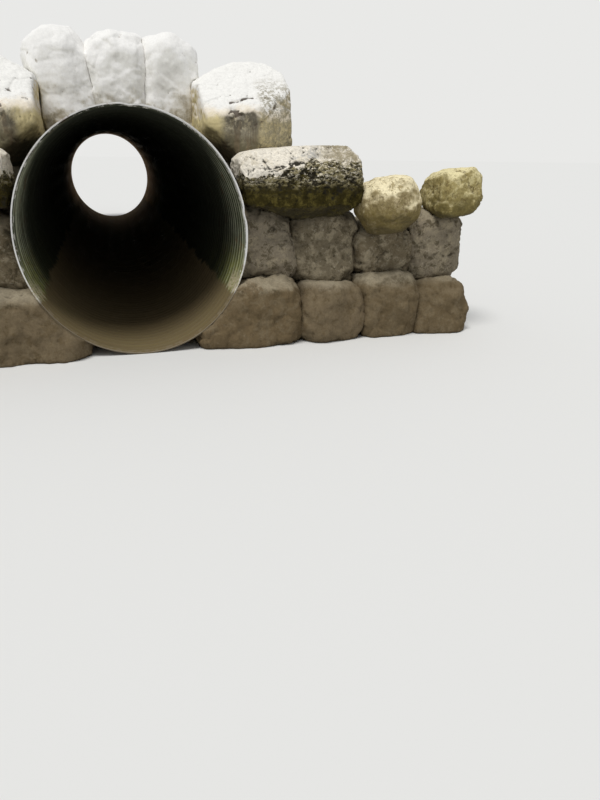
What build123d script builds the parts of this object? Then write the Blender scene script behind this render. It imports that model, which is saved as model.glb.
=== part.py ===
from build123d import *
import math
import os
import random

# A corrugated steel culvert, taller than it is wide, and the headwall of boulders laid dry beside and
# above its mouth. Millimetres: x = 0 is the pipe's axis, y = 0 the plane of the mouth with +Y running
# into the pipe, and z = 0 the pipe's lowest outside line, which is also where the wall is founded.

# Pipe, in lengths joined end to end. Its section is an oval of four arcs, each a quarter turn and
# tangent to the next
pipe_rise = 2520
pipe_span = 2360
sheet = 2.8
wave_pitch = 127
wave_depth = 25.4
wave_flat = 34
waves_per_length = 40
pipe_lengths = 3
joint_gap = 5

# Coupling bands, drawn round each joint by two angle lugs at the crown
band_width = 610
band_sheet = 2.8
band_opening = 70
lug_leg = 51
lug_thickness = 5

# Clearance where a stone or a band bears on the pipe's ridges
seat_gap = 0.3

# Headwall: two buried courses carry the stones that show. A tuck is how far in over the pipe's side
# a stone begins, before it is cut to fit round the pipe
footing_height = 720
course_height = 785
foundation_cut = 180
footing_tuck = 567
course_tuck = 187
footing_joints = (0.0, 0.36, 0.59, 0.80, 1.0)
course_joints = (0.0, 0.27, 0.52, 0.77, 1.0)
footing_front = -90
footing_depth = 1060
footing_steps = (0, -70, 30, -110)
course_setback = 290
course_under_round = 3

# The long ledge stone, with the round and the end stone that follow it outwards
ledge_tuck = 50
ledge_width = 1433
ledge_height = 715
ledge_depth = 850
ledge_front = -60
round_width = 690
round_height = 550
round_depth = 700
round_front = -250
round_drop = 145
round_lap = 20
end_width = 560
end_height = 480
end_depth = 700
end_front = -90
end_setoff = 390

# The square block stone behind the ledge, on two backing stones
block_tuck = 330
block_width = 1080
block_depth = 1050
block_height = 1190
block_lift = 425
backing_tuck = 507
backing_width = 1500
backing_depth = 1150

# Crest stones, which lie on the crown of the pipe. They hang down its flanks, and rise above it
crest_width = 720
crest_rise = 850
crest_hang = 475
crest_front = 1480
crest_depth = 950
crest_lap = 60
key_width = 700
key_rise = 860
key_offset = 30

# Form of a stone. Its bite is how far it reaches into the place of its neighbour, its roundness is the
# share of its least half size taken by the corners, and its facets are set out of line by the wobble
bite = 70
facets = 34
wobble = 0.16
dent = 0.07
lean = 6
fine = 0.01
plain_roundness = 0.62
ledge_roundness = 0.55
round_roundness = 0.9
block_roundness = 0.5
crest_roundness = 0.8

# Broad faces that the larger stones were split along, as on the right: their directions, and how far out
# each lies as a share of the block's reach that way
block_faces = (
    (-0.12, -0.62, 0.78, 0.46),
    (0.5, -0.87, 0.0, 0.75),
    (-0.63, -0.25, -0.73, 0.54),
    (-0.44, -0.1, 0.89, 0.69),
    (0.8, -0.1, 0.6, 0.88),
)
ledge_faces = (
    (0.0, -0.6, 0.8, 0.66),
    (-0.26, 0.0, -0.97, 0.68),
    (-0.94, 0.0, -0.33, 0.86),
    (-0.38, -0.25, 0.89, 0.78),
    (0.59, 0.0, -0.81, 0.77),
    (0.87, 0.0, 0.5, 0.86),
    (0.0, -0.55, -0.83, 0.78),
)
crest_faces = ((0.57, 0.0, 0.82, 0.8),)

# Seeds of the facets, to the right and to the left of the pipe
footing_seeds = (11, 41)
course_seeds = (22, 52)
face_seeds = (31, 91)
crest_seeds = (61, 71)
key_seed = 81

barrel_length = waves_per_length * wave_pitch
pipe_length = pipe_lengths * barrel_length + (pipe_lengths - 1) * joint_gap
ridge = wave_depth + sheet
axis_height = pipe_rise / 2 + ridge
crown = 2 * axis_height
pipe_side = pipe_span / 2 + ridge
arc_shift = (pipe_rise - pipe_span) / 2 / (2 - math.sqrt(2))
side_arc = pipe_span / 2 + arc_shift
crown_arc = pipe_rise / 2 - arc_shift
ledge_foot = footing_height + course_height
block_foot = ledge_foot + block_lift
ledge_end = pipe_side - ledge_tuck + ledge_width
wall_end = ledge_end + round_width + end_setoff + end_width - round_lap - bite


def oval_arcs():
    # centre across and up, radius and middle direction of each arc: right, crown, left, invert
    yield -arc_shift, axis_height, side_arc, 0
    yield 0, axis_height + arc_shift, crown_arc, 90
    yield arc_shift, axis_height, side_arc, 180
    yield 0, axis_height - arc_shift, crown_arc, 270


def oval_bar(out, start, length):
    # a solid bar with the pipe's section grown by out, for what is cut to fit round it
    arcs = [CenterArc((x, z), radius + out, turn - 45, 90) for x, z, radius, turn in oval_arcs()]
    return Pos(0, start, 0) * extrude(Plane.XZ * make_face(arcs), amount=-length)


def oval_ring(profile):
    # carries a profile of outward distances and places along the pipe once round the oval
    faces = []
    for x, z, radius, turn in oval_arcs():
        section = make_face(Polyline(*[(radius + out, along) for out, along in profile], close=True))
        quarter = Rot(0, -turn - 45, 0) * revolve(section, Axis.Y, revolution_arc=90)
        for face in (Pos(x, 0, z) * quarter).faces():
            joins_next = face.geom_type == GeomType.PLANE and abs(face.normal_at().Y) < 0.5
            if not joins_next:
                faces.append(face)
    return Solid(Shell(faces))


def barrel():
    # one corrugated length: the sheet runs from ridge to valley and back once a pitch
    outer = [(ridge, 0)]
    for wave in range(waves_per_length):
        start = wave * wave_pitch
        middle = start + wave_pitch / 2
        outer.append((ridge, start + wave_flat / 2))
        outer.append((sheet, middle - wave_flat / 2))
        outer.append((sheet, middle + wave_flat / 2))
        outer.append((ridge, start + wave_pitch - wave_flat / 2))
    outer.append((ridge, barrel_length))
    inner = [(out - sheet, along) for out, along in reversed(outer)]
    return oval_ring(outer + inner)


def band():
    # a plain sheet hoop that bears on the ridges both sides of a joint and is open at the crown
    inside = ridge + seat_gap
    outside = inside + band_sheet
    edge = band_width / 2
    hoop = oval_ring([(inside, -edge), (outside, -edge), (outside, edge), (inside, edge)])
    opening = Pos(0, 0, crown) * Box(band_opening, 2 * band_width, axis_height)
    return hoop - opening


def lug(side):
    # an angle along the band's edge: one leg lies on the band, the other stands up at the opening
    edge = side * band_opening / 2
    upright = Box(lug_thickness, band_width, lug_leg)
    flat = Box(lug_leg, band_width, 2 * lug_thickness)
    standing = Pos(edge + side * lug_thickness / 2, 0, crown + lug_leg / 2) * upright
    lying = Pos(edge + side * lug_leg / 2, 0, crown) * flat
    under = oval_bar(ridge + seat_gap + band_sheet, -band_width, 2 * band_width)
    return (standing + lying) - under


def directions(count):
    # evenly spread unit vectors, along a spiral from pole to pole
    turn = math.pi * (3 - math.sqrt(5))
    found = []
    for step in range(count):
        up = 1 - (2 * step + 1) / count
        level = math.sqrt(1 - up * up)
        found.append((level * math.cos(turn * step), level * math.sin(turn * step), up))
    return found


def clipped(polygons, foot, normal):
    # the polygons of a convex form behind the plane through foot, with one more that closes the cut
    kept, rim = [], []
    for polygon in polygons:
        inside = []
        for a, b in zip(polygon, polygon[1:] + polygon[:1]):
            above_a, above_b = (a - foot).dot(normal), (b - foot).dot(normal)
            if above_a <= 0:
                inside.append(a)
            if above_a * above_b < 0:
                crossing = a + (b - a) * (above_a / (above_a - above_b))
                inside.append(crossing)
                if all((crossing - other).length > fine for other in rim):
                    rim.append(crossing)
        if len(inside) > 2:
            kept.append(inside)
    if len(rim) > 2:
        middle = sum(rim, Vector()) / len(rim)
        flat = Plane(origin=middle, z_dir=normal)
        around = [(flat.to_local_coords(point), point) for point in rim]
        around.sort(key=lambda pair: math.atan2(pair[0].Y, pair[0].X))
        kept.append([point for _, point in around])
    return kept


def block(half):
    # the six faces of a box about the origin, as polygons
    polygons = []
    for axis in range(3):
        for end in (-1, 1):
            corners = []
            for along, across in ((-1, -1), (1, -1), (1, 1), (-1, 1)):
                point = [0, 0, 0]
                point[axis] = end * half[axis]
                point[(axis + 1) % 3] = along * half[(axis + 1) % 3]
                point[(axis + 2) % 3] = across * half[(axis + 2) % 3]
                corners.append(Vector(*point))
            polygons.append(corners)
    return polygons


def boulder(low, high, seed, roundness):
    # a block with rounded corners, as flat facets that each touch the rounded form or lie just inside it
    rng = random.Random(seed)
    half = [(b - a) / 2 for a, b in zip(low, high)]
    centre = Vector(*[(a + b) / 2 for a, b in zip(low, high)])
    radius = roundness * min(half)
    polygons = block(half)
    spin = rng.uniform(0, 360)
    for x, y, z in directions(facets):
        strayed = Vector(*[rng.uniform(-wobble, wobble) for _ in range(3)])
        normal = (Vector(x, y, z).rotate(Axis.Z, spin) + strayed).normalized()
        reach = radius + sum(abs(n) * (h - radius) for n, h in zip(normal, half))
        reach -= rng.uniform(0, dent) * min(half)
        polygons = clipped(polygons, normal * reach, normal)
    stone = Solid(Shell([Face(Wire.make_polygon(points)) for points in polygons]))
    turn = [rng.uniform(-lean, lean) for _ in range(3)]
    return Pos(centre) * Rot(*turn) * stone


def hewn(stone, low, high, side, broad_faces):
    # the stone without what lies beyond its broad faces
    half = [(b - a) / 2 for a, b in zip(low, high)]
    centre = Vector(*[(a + b) / 2 for a, b in zip(low, high)])
    for x, y, z, share in broad_faces:
        reach = sum(abs(n) * h for n, h in zip((x, y, z), half))
        normal = Vector(side * x, y, z)
        flat = Plane(origin=centre + normal * (share * reach / normal.length**2), z_dir=normal)
        stone = largest(split(stone, bisect_by=flat, keep=Keep.BOTTOM))
    return stone


def largest(shape):
    return max(shape.solids(), key=lambda solid: solid.volume)


def near(one, other):
    a, b = one.bounding_box(), other.bounding_box()
    apart = [a.min.X > b.max.X, b.min.X > a.max.X, a.min.Y > b.max.Y, b.min.Y > a.max.Y]
    return not any(apart + [a.min.Z > b.max.Z, b.min.Z > a.max.Z])


def lay(name, low, high, seed, side=1, roundness=plain_roundness, broad_faces=()):
    # lays one stone: it reaches into its neighbours' places and is cut back to the stones laid before it
    if side < 0:
        low, high = (-high[0], low[1], low[2]), (-low[0], high[1], high[2])
    stone = hewn(boulder(low, high, seed, roundness), low, high, side, broad_faces)
    if low[2] < 0:
        stone = largest(split(stone, bisect_by=Plane.XY, keep=Keep.TOP))
    if near(stone, pipe_room):
        stone = largest(stone - pipe_room)
    for laid in stones.values():
        if near(stone, laid):
            stone = largest(stone - laid)
    stones[name] = stone


def between(start, end, share):
    return start + (end - start) * share


def lay_footings(side, hand, seed):
    for number in range(len(footing_joints) - 1):
        left = between(pipe_side - footing_tuck, wall_end, footing_joints[number]) - bite
        right = between(pipe_side - footing_tuck, wall_end, footing_joints[number + 1])
        low = (left, footing_front, -foundation_cut)
        high = (right, footing_front + footing_depth, footing_height + footing_steps[number])
        lay(f"footing_{hand}_{number + 1}", low, high, seed + number, side)
    left = pipe_side - backing_tuck
    low = (left, footing_front + footing_depth - bite, -foundation_cut)
    high = (left + backing_width, low[1] + backing_depth, block_foot / 2)
    lay(f"backing_{hand}_lower", low, high, seed + len(footing_joints), side)


def lay_course(side, hand, seed):
    for number in range(len(course_joints) - 1):
        left = between(pipe_side - course_tuck, wall_end, course_joints[number]) - bite
        right = between(pipe_side - course_tuck, wall_end, course_joints[number + 1])
        drop = round_drop if number + 1 == course_under_round else 0
        low = (left, footing_front + course_setback, footing_height + footing_steps[number] - bite)
        high = (right, footing_front + footing_depth, ledge_foot - drop)
        lay(f"course_{hand}_{number + 1}", low, high, seed + number, side)
    left = pipe_side - backing_tuck
    low = (left + bite, footing_front + footing_depth - bite, block_foot / 2 - bite)
    high = (left + backing_width, low[1] + backing_depth, block_foot)
    lay(f"backing_{hand}_upper", low, high, seed + len(course_joints), side)


def lay_faces(side, hand, seed):
    low = (ledge_end - ledge_width, ledge_front, ledge_foot - bite)
    high = (ledge_end, ledge_front + ledge_depth, ledge_foot + ledge_height)
    lay(f"ledge_stone_{hand}", low, high, seed, side, ledge_roundness, ledge_faces)
    left = ledge_end - round_lap
    low = (left, round_front, ledge_foot - round_drop - bite)
    high = (left + round_width, round_front + round_depth, ledge_foot - round_drop + round_height)
    lay(f"round_stone_{hand}", low, high, seed + 1, side, round_roundness)
    left = high[0] + end_setoff - bite
    low = (left, end_front, ledge_foot - bite)
    high = (left + end_width, end_front + end_depth, ledge_foot + end_height)
    lay(f"end_stone_{hand}", low, high, seed + 2, side)
    left = pipe_side - block_tuck
    low = (left, ledge_front + ledge_depth - bite, block_foot - bite)
    high = (left + block_width, low[1] + block_depth, block_foot + block_height)
    lay(f"block_stone_{hand}", low, high, seed + 3, side, block_roundness, block_faces)


def lay_crest():
    left = key_width / 2 - crest_lap
    for (side, hand), seed in zip(sides, crest_seeds):
        low = (left, crest_front, crown - crest_hang)
        high = (left + crest_width, crest_front + crest_depth, crown + crest_rise)
        lay(f"crest_stone_{hand}", low, high, seed, side, crest_roundness, crest_faces)
    low = (key_offset - key_width / 2, crest_front, crown - crest_hang)
    high = (key_offset + key_width / 2, crest_front + crest_depth, crown + key_rise)
    lay("key_stone", low, high, key_seed, 1, crest_roundness)


def save(name, shape):
    export_step(shape, os.path.join("parts", name + ".step"))


os.makedirs("parts", exist_ok=True)
pipe_room = oval_bar(ridge + seat_gap, -barrel_length / 2, pipe_length)
sides = ((1, "right"), (-1, "left"))
stones = {}
for (side, hand), seed in zip(sides, footing_seeds):
    lay_footings(side, hand, seed)
for (side, hand), seed in zip(sides, course_seeds):
    lay_course(side, hand, seed)
for (side, hand), seed in zip(sides, face_seeds):
    lay_faces(side, hand, seed)
lay_crest()
for name, stone in stones.items():
    save(name, stone)

one_length = barrel()
one_band = band()
for number in range(pipe_lengths):
    start = number * (barrel_length + joint_gap)
    save(f"pipe_length_{number + 1}", Pos(0, start, 0) * one_length)
for number in range(pipe_lengths - 1):
    joint = Pos(0, (number + 1) * (barrel_length + joint_gap) - joint_gap / 2, 0)
    save(f"coupling_band_{number + 1}", joint * one_band)
    for side, hand in sides:
        save(f"band_{number + 1}_lug_{hand}", joint * lug(side))
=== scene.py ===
import math

import bmesh
import bpy
import numpy as np
from mathutils import Matrix, Vector, noise


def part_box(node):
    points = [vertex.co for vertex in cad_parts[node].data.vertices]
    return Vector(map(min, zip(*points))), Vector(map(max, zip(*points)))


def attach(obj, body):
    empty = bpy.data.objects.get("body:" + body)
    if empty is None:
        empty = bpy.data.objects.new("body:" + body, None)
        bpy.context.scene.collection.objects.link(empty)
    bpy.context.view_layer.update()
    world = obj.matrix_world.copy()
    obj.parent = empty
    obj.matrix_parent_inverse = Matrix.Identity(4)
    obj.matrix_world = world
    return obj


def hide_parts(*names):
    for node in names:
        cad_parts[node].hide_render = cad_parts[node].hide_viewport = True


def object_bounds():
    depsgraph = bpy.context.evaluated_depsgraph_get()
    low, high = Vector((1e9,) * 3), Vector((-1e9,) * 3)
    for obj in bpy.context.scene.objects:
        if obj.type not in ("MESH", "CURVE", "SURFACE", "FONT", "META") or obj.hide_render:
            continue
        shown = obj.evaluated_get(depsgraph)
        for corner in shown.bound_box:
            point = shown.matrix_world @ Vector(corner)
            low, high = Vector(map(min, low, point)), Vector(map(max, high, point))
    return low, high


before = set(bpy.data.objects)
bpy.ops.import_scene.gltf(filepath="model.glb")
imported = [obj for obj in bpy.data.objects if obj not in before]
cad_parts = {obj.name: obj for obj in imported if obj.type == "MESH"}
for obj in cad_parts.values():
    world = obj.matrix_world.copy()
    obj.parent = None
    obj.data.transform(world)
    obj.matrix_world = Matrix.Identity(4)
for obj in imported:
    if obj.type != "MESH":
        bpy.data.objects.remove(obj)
cadBox = [list(corner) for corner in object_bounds()]
pipeLow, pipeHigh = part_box("pipe_length_1")
pipeHalf = ((pipeHigh.x - pipeLow.x) / 2, (pipeHigh.z - pipeLow.z) / 2)  # across and up
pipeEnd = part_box("pipe_length_3")[1].y
print("frame loaded:", len(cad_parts), "nodes")

stainLine = 0.643  # top of the silt stain in the pipe, above the floor
noiseSeed = 7

# mathutils takes the seed of its vector noise from the clock unless one is set
noise.seed_set(noiseSeed)


# nodes and trees

def feed(tree, socket, value):
    if isinstance(value, bpy.types.NodeSocket):
        tree.links.new(value, socket)
    else:
        socket.default_value = value


def addNode(tree, kind, inputs=None, **settings):
    made = tree.nodes.new(kind)
    for key, value in settings.items():
        setattr(made, key, value)
    for key, value in (inputs or {}).items():
        feed(tree, made.inputs[key], value)
    return made


def mathNode(tree, operation, *values):
    return addNode(tree, "ShaderNodeMath", dict(enumerate(values)), operation=operation).outputs[0]


def times(tree, first, second):
    return mathNode(tree, "MULTIPLY", first, second)


def mixColour(tree, share, first, second, blend="MIX"):
    made = addNode(tree, "ShaderNodeMix", {0: share}, data_type="RGBA", blend_type=blend)
    for socket, value in ((made.inputs[6], first), (made.inputs[7], second)):
        feed(tree, socket, (*value, 1) if isinstance(value, (tuple, list)) else value)
    return made.outputs[2]


def ramp(tree, value, low, high, start=0.0, end=1.0):
    made = addNode(tree, "ShaderNodeMapRange", {
        "Value": value, "From Min": low, "From Max": high, "To Min": start, "To Max": end},
        interpolation_type="SMOOTHSTEP")
    return made.outputs["Result"]


def noiseOn(tree, coords, scale, detail, rough, stretch=None, distortion=0.0):
    if stretch:
        coords = addNode(tree, "ShaderNodeMapping", {"Vector": coords, "Scale": stretch}).outputs[0]
    found = addNode(tree, "ShaderNodeTexNoise", {
        "Vector": coords, "Scale": scale, "Detail": detail, "Roughness": rough, "Distortion": distortion})
    return found.outputs["Fac"]


def newMaterial(name):
    made = bpy.data.materials.new(name)
    made.use_nodes = True
    return made, made.node_tree.nodes["Principled BSDF"]


# stone

def paint(colour, share=1.0, **limits):
    return {"colour": colour, "share": share, **limits}


# Each look is a ground colour and the layers over it. A layer lies where all of its limits hold:
# up and front are the face's tilt, height and until are levels, across and within are distances from the
# pipe's axis, and hollow, crust and tone come with the mesh. A third number is how far an edge drifts.
# A layer limited by hollow is painted shade in the recesses, and a pale layer limited by up is partly
# bleached stone and partly painted sunlight on the tops.
# spots is a noise of (scale, detail, roughness, from, to, stretch). grain is the range of the fine shading.
stoneLooks = {
    "block": {"ground": (0.42, 0.37, 0.25), "bump": 0.45, "grain": (0.90, 1.04), "layers": [
        paint((0.62, 0.56, 0.41), height=(2.22, 2.42, 0.3), spots=(7, 9, 0.72, 0.45, 0.60)),
        paint((0.13, 0.115, 0.07), 0.9, height=(2.42, 2.20, 0.3), spots=(6, 8, 0.7, 0.27, 0.50)),
        paint((0.22, 0.16, 0.10), 0.6, height=(2.62, 2.45, 0.1), across=(1.04, 1.16),
              spots=(1, 8, 0.68, 0.50, 0.58, (17, 17, 2.4))),
        # darker on the front faces: partly stain and partly painted shade
        paint((0.10, 0.092, 0.075), 0.85, height=(2.16, 2.47, 0.25), until=(2.60, 2.55, 0.20),
              across=(1.60, 1.46, 0.3), within=(1.00, 1.14, 0.35), front=(0.1, 0.5),
              spots=(5, 9, 0.75, 0.36, 0.52)),
        paint((0.74, 0.63, 0.34), 0.9, across=(1.14, 1.02, 0.2), height=(2.14, 2.30, 0.3),
              spots=(9, 8, 0.7, 0.30, 0.48)),
        paint((0.56, 0.48, 0.28), 0.9, across=(1.49, 1.56, 0.1), spots=(26, 8, 0.75, 0.38, 0.52)),
        paint((0.14, 0.125, 0.10), 0.7, across=(1.06, 1.16), spots=(36, 7, 0.75, 0.57, 0.63)),
        # pale tops: partly dry, bleached stone and partly painted sunlight
        paint((0.86, 0.78, 0.65), height=(2.47, 2.56, 0.28), up=(-0.20, 0.15, 0.6)),
        paint((0.91, 0.90, 0.87), height=(2.54, 2.66, 0.30), up=(-0.05, 0.25, 0.5)),
        paint((0.50, 0.38, 0.28), 0.4, height=(2.48, 2.56), until=(2.80, 2.60, 0.4),
              spots=(26, 8, 0.78, 0.57, 0.64)),
        paint((0.29, 0.26, 0.18), 0.8, across=(1.50, 1.60, 0.1), until=(3.00, 2.76, 0.4),
              spots=(22, 8, 0.78, 0.45, 0.54)),
        # painted shade in the recesses
        paint((0.095, 0.075, 0.058), 0.92, hollow=(0.70, 0.96)),
    ]},
    "ledge": {"ground": (0.032, 0.025, 0.005), "bump": 0.9, "grain": (0.72, 1.12), "layers": [
        paint((0.092, 0.074, 0.018), spots=(9, 9, 0.7, 0.46, 0.60)),
        paint((0.015, 0.012, 0.004), 0.8, spots=(14, 8, 0.7, 0.52, 0.60)),
        paint((0.36, 0.31, 0.17), 0.9, height=(1.74, 1.88, 0.3),
              spots=(1, 8, 0.75, 0.46, 0.54, (11, 9, 22))),
        paint((0.84, 0.77, 0.62), height=(1.80, 1.92, 0.35), spots=(1, 9, 0.8, 0.51, 0.56, (18, 16, 40))),
        paint((0.022, 0.019, 0.013), 0.9, height=(1.66, 1.80, 0.3),
              spots=(1, 9, 0.8, 0.51, 0.56, (14, 13, 30))),
        paint((0.76, 0.69, 0.56), crust=(0.15, 0.7)),
        paint((0.90, 0.84, 0.73), crust=(0.4, 0.8), spots=(7, 9, 0.75, 0.36, 0.52)),
        paint((0.42, 0.42, 0.42), 0.75, crust=(0.4, 0.8), across=(1.60, 1.85, 0.4),
              spots=(5, 9, 0.75, 0.50, 0.60)),
        paint((0.30, 0.25, 0.15), 0.85, crust=(0.3, 0.7), across=(1.95, 2.25, 0.5),
              spots=(8, 9, 0.78, 0.40, 0.54)),
        paint((0.20, 0.17, 0.12), 0.65, crust=(0.4, 0.8), spots=(24, 8, 0.78, 0.57, 0.64)),
        # painted shade in the recesses
        paint((0.030, 0.026, 0.017), 0.95, hollow=(0.62, 0.90)),
    ]},
    "round": {"ground": (0.33, 0.265, 0.135), "bump": 0.65, "grain": (0.80, 1.08), "layers": [
        paint((0.60, 0.50, 0.30), spots=(9, 9, 0.78, 0.47, 0.57)),
        paint((0.19, 0.145, 0.07), 0.85, spots=(13, 9, 0.78, 0.52, 0.60)),
        paint((0.16, 0.12, 0.035), 0.85, height=(1.72, 1.46, 0.3), spots=(9, 8, 0.7, 0.32, 0.48)),
        paint((0.18, 0.13, 0.065), 0.75, spots=(26, 8, 0.8, 0.54, 0.61)),
        # pale tops: partly dry, bleached stone and partly painted sunlight
        paint((0.93, 0.83, 0.56), 0.96, up=(0.05, 0.60, 1.3)),
        paint((0.34, 0.26, 0.12), 0.85, up=(0.1, 0.5), spots=(17, 10, 0.82, 0.51, 0.57)),
        # painted shade in the recesses
        paint((0.10, 0.075, 0.035), 0.8, hollow=(0.62, 0.92)),
    ]},
    "brown": {"ground": (0.38, 0.31, 0.13), "bump": 0.75, "grain": (0.80, 1.08), "layers": [
        paint((0.62, 0.54, 0.28), spots=(9, 9, 0.78, 0.48, 0.58)),
        paint((0.20, 0.15, 0.06), 0.85, spots=(12, 9, 0.78, 0.52, 0.60)),
        paint((0.15, 0.12, 0.04), 0.85, height=(1.78, 1.55, 0.3), spots=(8, 8, 0.7, 0.34, 0.50)),
        paint((0.15, 0.11, 0.045), 0.8, spots=(22, 8, 0.78, 0.54, 0.62)),
        # pale tops: partly dry, bleached stone and partly painted sunlight
        paint((0.86, 0.77, 0.46), 0.90, up=(0.15, 0.75, 1.3)),
        paint((0.26, 0.20, 0.08), 0.85, up=(0.1, 0.5), spots=(18, 10, 0.82, 0.52, 0.58)),
        # painted shade in the recesses
        paint((0.09, 0.065, 0.03), 0.85, hollow=(0.62, 0.92)),
    ]},
    "crest": {"ground": (0.74, 0.70, 0.60), "bump": 0.35, "grain": (0.93, 1.03), "layers": [
        paint((0.84, 0.81, 0.73), spots=(6, 9, 0.72, 0.45, 0.60)),
        paint((0.36, 0.30, 0.19), 0.8, height=(2.78, 2.44, 0.6), spots=(7, 8, 0.7, 0.38, 0.58)),
        paint((0.30, 0.24, 0.15), 0.4, height=(3.00, 2.78, 0.4),
              spots=(1, 8, 0.7, 0.53, 0.62, (12, 12, 2))),
        paint((0.22, 0.18, 0.12), 0.45, spots=(28, 8, 0.78, 0.60, 0.66)),
        # pale upper part and tops: partly bleached stone and partly painted sunlight
        paint((0.92, 0.91, 0.87), 0.97, height=(2.56, 2.82, 0.9), spots=(5, 9, 0.72, 0.28, 0.40)),
        paint((0.92, 0.91, 0.89), up=(-0.10, 0.25, 0.5)),
        # painted shade in the recesses
        paint((0.24, 0.19, 0.13), 0.75, hollow=(0.74, 1.0)),
    ]},
    "buried": {"ground": (0.17, 0.14, 0.09), "bump": 0.85, "grain": (0.80, 1.08), "layers": [
        paint((0.27, 0.23, 0.17), 0.8, tone=(0.45, 0.75)),
        paint((0.22, 0.145, 0.075), 0.6, tone=(0.50, 0.20)),
        paint((0.34, 0.29, 0.20), 0.8, spots=(6, 9, 0.72, 0.47, 0.60)),
        paint((0.085, 0.068, 0.04), 0.8, spots=(9, 9, 0.74, 0.51, 0.60)),
        paint((0.42, 0.38, 0.30), 0.6, spots=(24, 8, 0.78, 0.58, 0.64)),
        # lighter tops: partly dry stone and partly painted sunlight
        paint((0.36, 0.31, 0.22), 0.7, up=(0.35, 0.85, 0.6)),
        # painted shade in the recesses
        paint((0.055, 0.045, 0.03), 0.85, hollow=(0.58, 0.88)),
        paint((0.14, 0.10, 0.052), 0.75, height=(0.72, 0.60, 0.15)),
    ]},
}


# What all the stones share. A noise is (scale, detail, roughness), and a span is (from, to, first, last).
stoneFinish = {
    "driftNoise": (4.5, 9, 0.7),  # by this the layers' edges drift
    "spotWarp": 0.35,
    "grainNoise": (38, 8, 0.75),
    "grainSpan": (0.30, 0.64),
    "pitNoise": (20, 12, 0.78),
    "grainHeight": 0.35,  # shares of the bump
    "pitHeight": 0.65,
    "bumpDistance": 0.016,
    # faces turned down darken to the under colour, as painted shade beneath overhangs
    "underSpan": (-0.85, -0.25, 0.6, 0),  # by the face's tilt
    "underColour": (0.04, 0.034, 0.022),
    "roughSpan": (0.3, 0.7, 0.98, 0.80),
    "specular": 0.1,
}


def limitedShare(tree, sources, layer):
    share = layer["share"]
    for key in ("up", "front", "height", "until", "across", "within", "hollow", "crust", "tone"):
        if key in layer:
            low, high, *drift = layer[key]
            value = sources[key]
            if drift:
                value = mathNode(tree, "MULTIPLY_ADD", sources["drift"], drift[0], value)
            share = times(tree, ramp(tree, value, low, high), share)
    if "spots" in layer:
        scale, detail, rough, low, high, *stretch = layer["spots"]
        spots = noiseOn(tree, sources["coords"], scale, detail, rough, *(stretch or [None]),
                        stoneFinish["spotWarp"])
        share = times(tree, ramp(tree, spots, low, high), share)
    return share


def stoneMaterial(look):
    values = {**stoneFinish, **stoneLooks[look]}
    made, shader = newMaterial(look + "Stone")
    tree = made.node_tree
    coords = addNode(tree, "ShaderNodeTexCoord").outputs["Object"]
    place = addNode(tree, "ShaderNodeSeparateXYZ", {"Vector": coords}).outputs
    normal = addNode(tree, "ShaderNodeNewGeometry").outputs["Normal"]
    tilt = addNode(tree, "ShaderNodeSeparateXYZ", {"Vector": normal}).outputs
    across = mathNode(tree, "ABSOLUTE", place["X"])
    drift = noiseOn(tree, coords, *values["driftNoise"])
    sources = {
        "coords": coords, "up": tilt["Z"], "front": times(tree, tilt["Y"], -1.0),
        "height": place["Z"], "until": place["Z"], "across": across, "within": across,
        "drift": mathNode(tree, "SUBTRACT", drift, 0.5),
    }
    # hollow carries the painted shade of the recesses
    for key in ("hollow", "crust", "tone"):
        sources[key] = addNode(tree, "ShaderNodeAttribute", attribute_name=key).outputs["Fac"]
    colour = values["ground"]
    for layer in values["layers"]:
        colour = mixColour(tree, limitedShare(tree, sources, layer), colour, layer["colour"])
    grain = noiseOn(tree, coords, *values["grainNoise"])
    light = ramp(tree, grain, *values["grainSpan"], *values["grain"])
    grey = addNode(tree, "ShaderNodeCombineColor", {"Red": light, "Green": light, "Blue": light})
    colour = mixColour(tree, 1.0, colour, grey.outputs[0], "MULTIPLY")
    # faces turned down are darkened as painted shade
    under = ramp(tree, sources["up"], *values["underSpan"])
    feed(tree, shader.inputs["Base Color"], mixColour(tree, under, colour, values["underColour"]))
    feed(tree, shader.inputs["Roughness"], ramp(tree, grain, *values["roughSpan"]))
    shader.inputs["Specular IOR Level"].default_value = values["specular"]
    pits = times(tree, noiseOn(tree, coords, *values["pitNoise"]), values["pitHeight"])
    relief = mathNode(tree, "MULTIPLY_ADD", grain, values["grainHeight"], pits)
    bump = addNode(tree, "ShaderNodeBump", {
        "Height": relief, "Strength": values["bump"], "Distance": values["bumpDistance"]})
    feed(tree, shader.inputs["Normal"], bump.outputs[0])
    return made


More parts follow.
